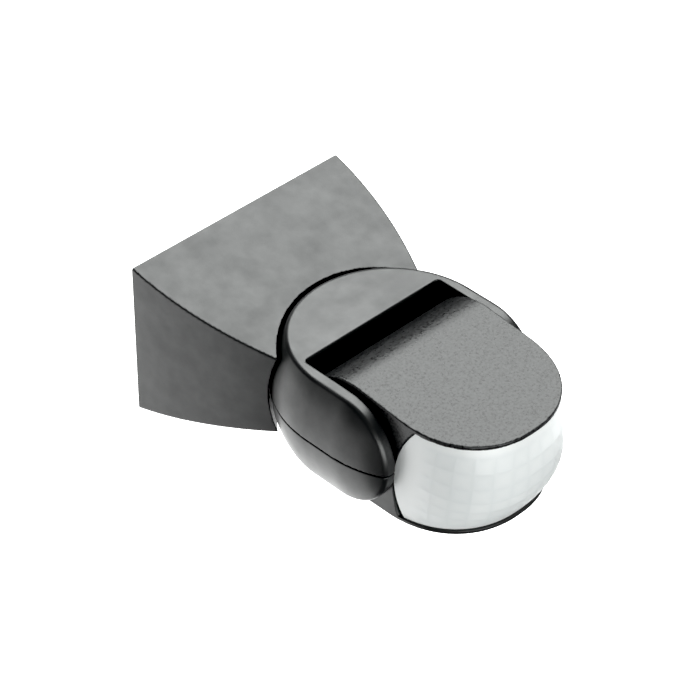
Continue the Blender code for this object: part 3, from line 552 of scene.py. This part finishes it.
def yoke_solid(up, edge, screws):
    joint = PARTING_Z + up * PARTING_GAP / 2

    def solid(x, y, z):
        outside = both(edge, ball(x, y, z, BALL_R), side_shape(y, z, YOKE_HALF_H))
        outside = less(edge * 0.55, outside, slot_shape(x, y, z, 0, SLOT_CORNER))
        inside = both(0.5, ball(x, y, z, BALL_R - YOKE_WALL),
                      side_shape(y, z, YOKE_HALF_H - YOKE_WALL))
        inside = less(0.5, inside, slot_shape(x, y, z, SLOT_WALL, 0.5))
        shell = less(0.2, outside, inside)
        for at in screws:
            u, v = x - at[0], y - at[1]
            post = cylinder(2.7, u, v, z, *sorted((joint, up * YOKE_HALF_H - up)))
            shell = either(0.3, shell, post)
            if up < 0:
                shell = either(0.3, shell, cylinder(4.2, u, v, z, -15.1, -11.2))
                bore = cylinder(1.5, u, v, z, -30, 4)
                sink = cylinder(3.0, u, v, z, -30, -YOKE_HALF_H + 2.6)
                shell = less(0.2, shell, np.minimum(bore, sink))
            else:
                shell = less(0.1, shell, cylinder(1.5, u, v, z, -4, 10))
        axle = np.maximum(np.hypot(y - TILT_Y, z) - AXLE_HOLE, np.abs(x) - SLOT_HALF_W - 2.6)
        turn = np.abs(np.arctan2(x, y - PAN_Y)) - KEY_WAY_TURN
        way = np.maximum.reduce([np.abs(z) - KEY_WAY_HALF_H, turn * 30,
                                 26 - np.hypot(x, y - PAN_Y)])
        half = (joint - z) * up
        return both(0.22, less(0.1, shell, axle, way), half)
    return solid


class SENSOR_OT_yoke(bpy.types.Operator):
    """Builds the two halves of the ball-shaped yoke"""

    bl_idname = "sensor.yoke"
    bl_label = "Panning yoke"

    def execute(self, context):
        settings = context.scene.sensor_shell
        screws = [middle_of(node)[:2] for node in ("yoke_screw_left", "yoke_screw_right")]
        for name, node, up in (("Yoke_upper", "yoke_upper_shell", 1),
                               ("Yoke_lower", "yoke_lower_shell", -1)):
            mesh = shell_mesh(name, node, yoke_solid(up, settings.yoke_edge / MM, screws))
            piece(name, mesh, FINISH["smooth"], "yoke", "anthracite_abs", node)
        return {"FINISHED"}


# ---------------------------------------------------------------- head
REST_TILT = radians(5.9)
HEAD_HALF_W, HEAD_FRONT_Y, HEAD_NOSE, HEAD_SQUARE = 24.0, -83.6, 24.6, 2.2
HEAD_TAPER, HEAD_WALL, LID = 0.11, 2.0, 1.3
LENS_THICK, LENS_INSET, LENS_BULGE, LENS_SQUARE = 1.1, 0.5, 3.6, 0.3
LENS_EDGE_Y, LENS_EDGE_R, GAP = -84.4, 31.0, 0.3
LENS_ROWS, LENS_STEPS, LENS_SEAM = 96, 260, 0.15
FACET_W, FACET_H, FACET_REACH, RING_PITCH = 5.4, 4.7, radians(60), 0.55
BOSS_END, MAIN_BOARD_Z = -6.0, -8.6
CASE_SCREWS = ((-17.0, -76.0), (17.0, -76.0))
BOARD_SCREWS = ((-16.5, -61.2), (16.5, -61.2))
KNOB_R, KNOB_PITCH, KNOB_Y = 4.3, 12.0, -86.0


def level(x, y, z):
    """Turns points back by the head's tilt at rest, so that its shapes can be drawn level."""
    c, s = cos(REST_TILT), sin(REST_TILT)
    return x, TILT_Y + c * (y - TILT_Y) + s * z, c * z - s * (y - TILT_Y)


def tilted(points):
    c, s = cos(REST_TILT), sin(REST_TILT)
    turned = np.array(points, float)
    y, z = turned[:, 1] - TILT_Y, turned[:, 2].copy()
    turned[:, 1], turned[:, 2] = TILT_Y + c * y - s * z, s * y + c * z
    return turned


def floor_z(y, inset=0.0):
    return -BARREL_R + inset + HEAD_TAPER * (TILT_Y - y)


def head_plan(x, y, inset=0.0):
    """Straight sides and a rounded front, as a distance that is true near the outline."""
    w, nose = HEAD_HALF_W - inset, HEAD_NOSE - inset
    ahead = np.maximum(HEAD_FRONT_Y - y, 0)
    u, v = np.abs(x) / w, ahead / nose
    grown = (u ** HEAD_SQUARE + v ** HEAD_SQUARE + 1e-9)
    value = grown ** (1 / HEAD_SQUARE) - 1
    k = HEAD_SQUARE
    size = np.hypot(u ** (k - 1) / w, v ** (k - 1) / nose) * grown ** (1 / k - 1)
    return value / np.maximum(size, 1e-3)


def head_body(x, y, z, inset=0.0, edge=0.3):
    barrel = np.hypot(np.maximum(y - TILT_Y, 0), z) - (BARREL_R - inset)
    floor = (floor_z(y, inset) - z) / sqrt(1 + HEAD_TAPER ** 2)
    lid = z - BARREL_R + inset
    return both(edge, head_plan(x, y, inset), np.maximum.reduce([barrel, lid, floor]))


def lens_edge_y(z):
    return LENS_EDGE_Y - LENS_EDGE_R + np.sqrt(np.maximum(LENS_EDGE_R ** 2 - z * z, 1.0))


def case_solid(up, edge):
    def solid(x, y, z):
        x, y, z = level(x, y, z)
        outside = head_body(x, y, z, 0, edge)
        inside = head_body(x, y, z, HEAD_WALL, 0.5)
        shell = less(0.2, outside, inside)
        before = y - lens_edge_y(z) - GAP
        if up > 0:
            window = np.maximum(before, z - (BARREL_R - LID))
        else:
            window = np.maximum(before, floor_z(y, LID) - z)
        shell = less(0.22, shell, window)
        axle = np.maximum(np.hypot(y - TILT_Y, z) - AXLE_HOLE, 20 - np.abs(x))
        shell = less(0.1, shell, axle)
        for sx, sy in CASE_SCREWS:
            u, v = x - sx, y - sy
            if up > 0:
                shell = either(0.3, shell, cylinder(2.6, u, v, z, BOSS_END, BARREL_R - 1))
                shell = less(0.1, shell, cylinder(1.4, u, v, z, BOSS_END - 1, 6))
            else:
                shell = either(0.3, shell, cylinder(3.6, u, v, z, floor_z(sy) + 1,
                                                    BOSS_END - GAP))
                bore = cylinder(1.5, u, v, z, -40, BOSS_END + 1)
                sink = cylinder(2.9, u, v, z, -40, floor_z(sy) + 2.4)
                shell = less(0.2, shell, np.minimum(bore, sink))
        if up < 0:
            for sx, sy in BOARD_SCREWS:
                post = cylinder(2.4, x - sx, y - sy, z, -13.4, MAIN_BOARD_Z - GAP)
                shell = either(0.3, shell, post)
                shell = less(0.1, shell, cylinder(1.3, x - sx, y - sy, z, -12.4, -5))
            for n in (-1, 0, 1):
                u, v = x - n * KNOB_PITCH, y - KNOB_Y
                wide = cylinder(KNOB_R + 1.2, u, v, z, -30, floor_z(KNOB_Y) + 0.9)
                through = cylinder(KNOB_R - 0.9, u, v, z, -30, -8)
                shell = less(0.2, shell, np.minimum(wide, through))
        half = (0.1 * up - z) * up
        # Above the joint the boss of the upper case hangs down through it
        if up > 0:
            bosses = np.minimum.reduce([np.hypot(x - sx, y - sy) - 2.6
                                        for sx, sy in CASE_SCREWS])
            half = np.minimum(half, np.maximum(bosses, BOSS_END - z))
        return both(0.12, shell, half)
    return solid


def lens_point(level_z, t, top):
    """A point of the lens at one height, t from -1 on the left edge to 1 on the right."""
    swell = 1 - (level_z / top) ** 2
    square = HEAD_SQUARE + LENS_SQUARE * swell
    w = HEAD_HALF_W - LENS_INSET + 0.35 * swell
    nose = HEAD_NOSE - LENS_INSET - 0.2 + LENS_BULGE * swell
    edge = HEAD_FRONT_Y - lens_edge_y(level_z)
    end = acos((max(edge, 0.0) / nose) ** (square / 2))
    turn = t * end
    x = (1 if turn > 0 else -1) * w * abs(sin(turn)) ** (2 / square)
    y = HEAD_FRONT_Y - nose * max(cos(turn), 0.0) ** (2 / square)
    floor = floor_z(y, LID + LENS_SEAM)
    return x, y, level_z if level_z > 0 else level_z * floor / -top


def lens_mesh(name, depth):
    top = BARREL_R - LID - LENS_SEAM
    rows, steps = LENS_ROWS, LENS_STEPS
    points = np.zeros((rows + 1, steps + 1, 3))
    for i in range(rows + 1):
        h = top * (2 * i / rows - 1)
        for j in range(steps + 1):
            points[i, j] = lens_point(h, 2 * j / steps - 1, top)
    # Which facet a point is in, and how far from its middle
    middle = rows // 2
    run = np.concatenate([[0], np.cumsum(np.linalg.norm(
        np.diff(points[middle, :, :2], axis=0), axis=1))])
    run -= run[steps // 2]
    heights = np.linspace(-top, top, rows + 1)[:, None]
    across = np.broadcast_to(run / FACET_W, points.shape[:2])
    tall = np.broadcast_to(heights / FACET_H, points.shape[:2])
    u, v = across - np.round(across), tall - 0.5 - np.round(tall - 0.5)
    facing = np.arctan2(np.abs(points[..., 0]), HEAD_FRONT_Y + 6 - points[..., 1])
    fade = np.clip((FACET_REACH - facing) / radians(6), 0, 1)
    fade = fade * np.clip((top - 1.2 - np.abs(heights)) / 1.5, 0, 1)
    # Normals of the smooth skin, to press the facets in along
    du = np.gradient(points, axis=1)
    dv = np.gradient(points, axis=0)
    out = np.cross(du, dv)
    out /= np.linalg.norm(out, axis=2, keepdims=True)
    sink = depth * fade * (1 - np.clip(np.maximum(np.abs(u), np.abs(v)) * 2, 0, 1) ** 2)
    outer = points - out * sink[..., None]
    inner = points - out * LENS_THICK
    shape = points.shape[:2]
    number = np.arange(shape[0] * shape[1]).reshape(shape)
    verts = np.concatenate([tilted(outer.reshape(-1, 3)), tilted(inner.reshape(-1, 3))])
    a, b = number[:-1, :-1].ravel(), number[:-1, 1:].ravel()
    c, d = number[1:, 1:].ravel(), number[1:, :-1].ravel()
    front = np.stack([a, b, c, d], 1)
    back = front[:, ::-1] + number.size
    border = np.concatenate([number[0, :], number[1:, -1], number[-1, -2::-1],
                             number[-2:0:-1, 0]])
    after = np.roll(border, -1)
    rim = np.stack([border, border + number.size, after + number.size, after], 1)
    mesh = bpy.data.meshes.new(name)
    mesh.from_pydata((verts * MM).tolist(), [],
                     np.concatenate([front, back, rim]).tolist())
    mesh.shade_smooth()
    mesh.set_sharp_from_angle(angle=radians(40))
    # Facts for the material: painted shade along the rim lines, each facet's own random tone,
    # and its rings
    near = np.maximum(np.abs(u), np.abs(v)) * 2
    # Painted shade: the colour darkens towards each facet's rim
    painted_rim_shade = np.clip((near - 0.15) / 0.85, 0, 1) ** 1.6 * fade * 0.20
    picks = np.random.default_rng(4).random((40, 80))
    column = np.round(across).astype(int) + 40
    row = np.round(tall - 0.5).astype(int) + 20
    shade = (0.06 + 0.14 * picks[row, column] + 0.16 * picks[row, 0]) * fade
    rings = 0.5 + 0.5 * np.cos(2 * pi * np.hypot(u * FACET_W, v * FACET_H) / RING_PITCH) * fade
    for key, values in (("facet_rim", painted_rim_shade), ("facet_shade", shade), ("facet_rings", rings)):
        layer = mesh.attributes.new(key, "FLOAT", "POINT")
        flat = np.concatenate([values.ravel(), np.zeros(number.size)])
        layer.data.foreach_set("value", flat.astype(np.float32))
    return mesh


class SENSOR_OT_head(bpy.types.Operator):
    """Builds the two cases of the sensor head"""

    bl_idname = "sensor.head"
    bl_label = "Sensor head cases"

    def execute(self, context):
        settings = context.scene.sensor_shell
        for name, node, up, finish in (("Head_upper", "head_upper_case", 1, "lid"),
                                       ("Head_lower", "head_lower_case", -1, "satin")):
            mesh = shell_mesh(name, node, case_solid(up, settings.lid_edge / MM))
            piece(name, mesh, FINISH[finish], "head", "anthracite_abs", node)
        return {"FINISHED"}


class SENSOR_OT_lens(bpy.types.Operator):
    """Builds the wraparound lens with its grid of facets"""

    bl_idname = "sensor.lens"
    bl_label = "Fresnel lens"

    def execute(self, context):
        depth = context.scene.sensor_lens.facet_depth / MM
        mesh = lens_mesh("Lens_skin", depth)
        piece("Lens_skin", mesh, FINISH["lens"], "head", "lens_hdpe", "fresnel_lens")
        return {"FINISHED"}


# ---------------------------------------------------------------- small parts
SMALL_ROOM = 0.5
KNOB_GRIP = 1.1
THREAD_PITCH, THREAD_DEEP = 0.9, 0.16


def corners_of(node):
    return np.array([v.co for v in frame["nodes"][node].data.vertices]) / MM


def screw_solid(head_r, head_h, shank_r, reach):
    """A pan-head screw along z with its head at 0, pointing up, with a cross recess."""
    def solid(x, y, z):
        r = np.hypot(x, y)
        dome = np.sqrt(r * r + (z - 3.2) ** 2) - 3.2
        head = both(0.15, r - head_r, z - head_h, dome)
        taper = np.clip(z / head_h, 0, 1)
        arm = 0.42 * (1 - 0.4 * taper)
        span = head_r * 0.56 * (1 - 0.45 * taper)
        cross = np.minimum(np.maximum(np.abs(x) - arm, np.abs(y) - span),
                           np.maximum(np.abs(y) - arm, np.abs(x) - span))
        head = less(0.08, head, np.maximum(cross, z - head_h * 0.75))
        thread = THREAD_DEEP * np.cos(2 * pi * z / THREAD_PITCH - np.arctan2(y, x))
        tip = (r + (z - reach) * 0.7) / 1.22
        shank = both(0.05, r - shank_r + THREAD_DEEP - thread, tip, head_h * 0.8 - z)
        return either(0.1, head, shank)
    return solid


def screw_mesh(name, head_r, head_h, shank_r, reach):
    half = head_r + SMALL_ROOM
    return skin(name, screw_solid(head_r, head_h, shank_r, reach), (-half, -half, -SMALL_ROOM),
                (half, half, reach + SMALL_ROOM), 0.17)


SCREWS = (  # node, body, head radius, head height, shank radius, tilts with the head
    ("cover_screw_left", "bracket", 2.6, 1.0, 1.2, False),
    ("cover_screw_right", "bracket", 2.6, 1.0, 1.2, False),
    ("yoke_screw_left", "yoke", 2.6, 1.7, 1.2, False),
    ("yoke_screw_right", "yoke", 2.6, 1.7, 1.2, False),
    ("case_screw_1", "head", 2.5, 1.5, 1.1, True),
    ("case_screw_2", "head", 2.5, 1.5, 1.1, True),
)


class SENSOR_OT_screws(bpy.types.Operator):
    """Builds the cross-head screws under the bracket, yoke and head"""

    bl_idname = "sensor.screws"
    bl_label = "Case screws"

    def execute(self, context):
        for node, body, head_r, head_h, shank_r, leans in SCREWS:
            lean = Euler((REST_TILT if leans else 0, 0, 0)).to_matrix().to_4x4()
            along = Vector((0, -sin(REST_TILT), cos(REST_TILT))) if leans else Vector((0, 0, 1))
            heights = corners_of(node) @ np.array(along)
            reach = float(heights.max() - heights.min())
            offset = middle_of(node) - along * (reach / 2)
            mesh = screw_mesh(node.title(), head_r, head_h, shank_r, reach)
            mesh.transform(Matrix.Translation(offset * MM) @ lean)
            piece(node.title(), mesh, FINISH["zinc"], body, "zinc_steel", node)
        return {"FINISHED"}


def knob_solid(radius, low, high, grip):
    """A sunk disc with a raised finger grip across it and small notches round its rim."""
    def solid(x, y, z):
        r, turn = np.hypot(x, y), np.arctan2(y, x)
        rim = radius - 0.06 + 0.06 * np.cos(turn * 24)
        disc = both(0.25, r - rim, slab(z, low, high))
        dish = both(0.3, r - radius + 0.7, slab(z, low - 2, low + 0.35))
        disc = less(0.12, disc, dish)
        # The grip narrows to a pointer at one end
        half = 0.75 * np.clip((y + radius) / (2 * radius) * 1.2 + 0.3, 0.3, 1)
        bar = both(0.2, np.abs(x) - half, np.abs(y) - radius + 0.5,
                   slab(z, low - grip, low + 1))
        return either(0.1, disc, bar)
    return solid


class SENSOR_OT_knobs(bpy.types.Operator):
    """Builds the three adjusters under the head"""

    bl_idname = "sensor.knobs"
    bl_label = "Adjusters"

    def execute(self, context):
        for node in ("range_knob", "time_knob", "dusk_knob"):
            joint = next(j for j in frame["joints"] if j["child"] == node)
            axis = Vector(joint["axis"]).normalized()
            at = Vector(joint["pos_m"]) / MM
            corners = corners_of(node)
            heights = (corners - np.array(at)) @ np.array(axis)
            low, high = float(heights.min()), float(heights.max())
            around = corners - np.array(at) - np.outer(heights, np.array(axis))
            radius = float(np.linalg.norm(around, axis=1).max())
            half = radius + SMALL_ROOM
            mesh = skin(node.title(), knob_solid(radius, low + KNOB_GRIP, high, KNOB_GRIP),
                        (-half, -half, low - SMALL_ROOM), (half, half, high + SMALL_ROOM), 0.14)
            lean = Euler((REST_TILT, 0, 0)).to_matrix().to_4x4()
            mesh.transform(lean)
            mesh.transform(Matrix.Translation(at * MM))
            piece(node.title(), mesh, FINISH["acetal"], node, "black_acetal", node)
        return {"FINISHED"}


KEPT = {  # finish: the solids that keep their shape
    "satin": ("back_plate", "lens_retainer"),
    "rubber": ("wall_seal", "cable_grommet", "tilt_ring_left", "tilt_ring_right"),
    "nylon": ("terminal_block", "relay", "lead_connector"),
    "acetal": ("swivel_key", "tilt_axle_left", "tilt_axle_right"),
    "zinc": ("terminal_screw_1", "terminal_screw_2", "terminal_screw_3", "key_screw_lower",
             "key_screw_upper", "board_screw_1", "board_screw_2"),
    "nickel": ("pyro_can",),
    "pvc": ("bracket_lead", "yoke_lead", "head_lead"),
    "board": ("main_board", "sensor_board"),
    "ochre": ("film_capacitor", "light_sensor"),
    "black_epoxy": ("control_chip", "range_potentiometer", "time_potentiometer",
                    "dusk_potentiometer"),
    "sleeve": ("smoothing_capacitor",),
    "silicon": ("pyro_window",),
    "red": ("indicator_led",),
}


class SENSOR_OT_inner_parts(bpy.types.Operator):
    """Gives the inner parts their finishes"""

    bl_idname = "sensor.inner_parts"
    bl_label = "Inner parts"

    def execute(self, context):
        for finish, nodes in KEPT.items():
            for node in nodes:
                mesh = frame["nodes"][node].data
                mesh.materials.clear()
                mesh.materials.append(FINISH[finish])
                mesh.shade_smooth()
                mesh.set_sharp_from_angle(angle=radians(35))
        return {"FINISHED"}


# ---------------------------------------------------------------- stage
CAMERA_AT = (-0.40499, -0.44898, 0.46711)
LOOK = Vector((0.5484, 0.5484, -0.6314))
RIGHT = Vector((0.7121, -0.7020, 0.0088))


def panel(name, cells, half, at, finish):
    """A level sheet of the studio."""
    bm = bmesh.new()
    bmesh.ops.create_grid(bm, x_segments=cells, y_segments=cells, size=half)
    mesh = bpy.data.meshes.new(name)
    bm.to_mesh(mesh)
    bm.free()
    mesh.materials.append(FINISH[finish])
    made = bpy.data.objects.new(name, mesh)
    made.location = at
    bpy.context.scene.collection.objects.link(made)
    made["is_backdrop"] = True
    return made


def softbox(name, target, azimuth, elevation, distance, size, power):
    """A rectangular area lamp that looks at target."""
    lamp = bpy.data.lights.new(name, "AREA")
    lamp.shape, lamp.size, lamp.size_y, lamp.energy = "RECTANGLE", size[0], size[1], power
    lamp.color = (0.975, 1.0, 0.985)
    made = bpy.data.objects.new(name, lamp)
    a, e = radians(azimuth), radians(elevation)
    away = Vector((sin(a) * cos(e), -cos(a) * cos(e), sin(e)))
    made.location = Vector(target) + away * distance
    made.rotation_euler = (-away).to_track_quat("-Z", "Y").to_euler()
    made.visible_camera = False
    bpy.context.scene.collection.objects.link(made)
    return made


class SENSOR_OT_stage(bpy.types.Operator):
    """Builds the lit table, the black flag, the soft lamps and the camera"""

    bl_idname = "sensor.stage"
    bl_label = "Stage, lights and camera"

    def execute(self, context):
        scene, settings = context.scene, context.scene.sensor_stage
        low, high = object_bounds()
        middle = (low + high) / 2
        panel("Floor", 4, 2.0, (0, 0, low.z - settings.floor_drop), "floor")
        # A black flag on the room's side keeps the lit table out of the lens and the arms
        flag = panel("Black_flag", 8, 0.5, (-0.33, -0.46, low.z - 0.2), "velvet")
        flag.scale = (1.36, 0.82, 1)
        flag.visible_camera = False
        softbox("Overhead_softbox", middle, 128, 56, 0.9, (1.0, 0.8), settings.overhead)
        softbox("Lens_softbox", middle, -14, 4, 0.9, (0.9, 0.5), settings.side)
        softbox("Back_softbox", middle, 222, -4, 0.6, (0.5, 0.3), settings.back)
        world = bpy.data.worlds.new("Studio")
        world.use_nodes = True
        tree = world.node_tree
        dim = tree.nodes["Background"]
        dim.inputs["Color"].default_value = (0.05, 0.051, 0.052, 1)
        # The room is dim in reflections and pale where it is seen past the table's edge
        pale = add_node(tree, "ShaderNodeBackground", {"Color": (1.0, 1.0, 1.0, 1)})
        seen = add_node(tree, "ShaderNodeLightPath").outputs["Is Camera Ray"]
        mixed = add_node(tree, "ShaderNodeMixShader", {
            0: seen, 1: dim.outputs[0], 2: pale.outputs[0]})
        tree.links.new(mixed.outputs[0], tree.nodes["World Output"].inputs["Surface"])
        scene.world = world
        data = bpy.data.cameras.new("Camera")
        data.sensor_width, data.lens = 36.0, 142.76
        data.clip_start, data.clip_end = 0.01, 20
        camera = bpy.data.objects.new("Camera", data)
        up = RIGHT.cross(LOOK)
        turn = Matrix((RIGHT, up, -LOOK)).transposed().to_4x4()
        camera.matrix_world = Matrix.Translation(CAMERA_AT) @ turn
        scene.collection.objects.link(camera)
        scene.camera = camera
        grade = scene.view_settings
        grade.view_transform = "Standard"
        grade.use_curve_mapping = True
        grade.curve_mapping.black_level = (0.006, 0.006, 0.006)
        return {"FINISHED"}


class SENSOR_PT_panel(bpy.types.Panel):
    bl_idname = "SENSOR_PT_panel"
    bl_label = "Motion sensor"
    bl_space_type = "VIEW_3D"
    bl_region_type = "UI"
    bl_category = "Motion Sensor"

    def draw(self, context):
        scene = context.scene
        for group in (scene.sensor_shell, scene.sensor_lens, scene.sensor_stage):
            for key in group.__annotations__:
                self.layout.prop(group, key)
        for step in STEPS:
            self.layout.operator(step.bl_idname)


GROUPS = {"sensor_shell": ShellSettings, "sensor_lens": LensSettings,
          "sensor_stage": StageSettings}
STEPS = (SENSOR_OT_bracket, SENSOR_OT_yoke, SENSOR_OT_head, SENSOR_OT_lens, SENSOR_OT_screws,
         SENSOR_OT_knobs, SENSOR_OT_inner_parts, SENSOR_OT_stage)
FINISH = {}


def register():
    for group in GROUPS.values():
        bpy.utils.register_class(group)
    for key, group in GROUPS.items():
        setattr(bpy.types.Scene, key, bpy.props.PointerProperty(type=group))
    for kind in STEPS + (SENSOR_PT_panel,):
        bpy.utils.register_class(kind)


def unregister():
    for kind in reversed(STEPS + (SENSOR_PT_panel,)):
        bpy.utils.unregister_class(kind)
    for key in GROUPS:
        delattr(bpy.types.Scene, key)
    for group in reversed(list(GROUPS.values())):
        bpy.utils.unregister_class(group)


def main():
    for name in ("Cube", "Light", "Camera"):
        spare = bpy.data.objects.get(name)
        if spare:
            bpy.data.objects.remove(spare)
    register()
    FINISH.update(make_materials())
    for step in STEPS:
        group, name = step.bl_idname.split(".")
        getattr(getattr(bpy.ops, group), name)()


if __name__ == "__main__":
    main()
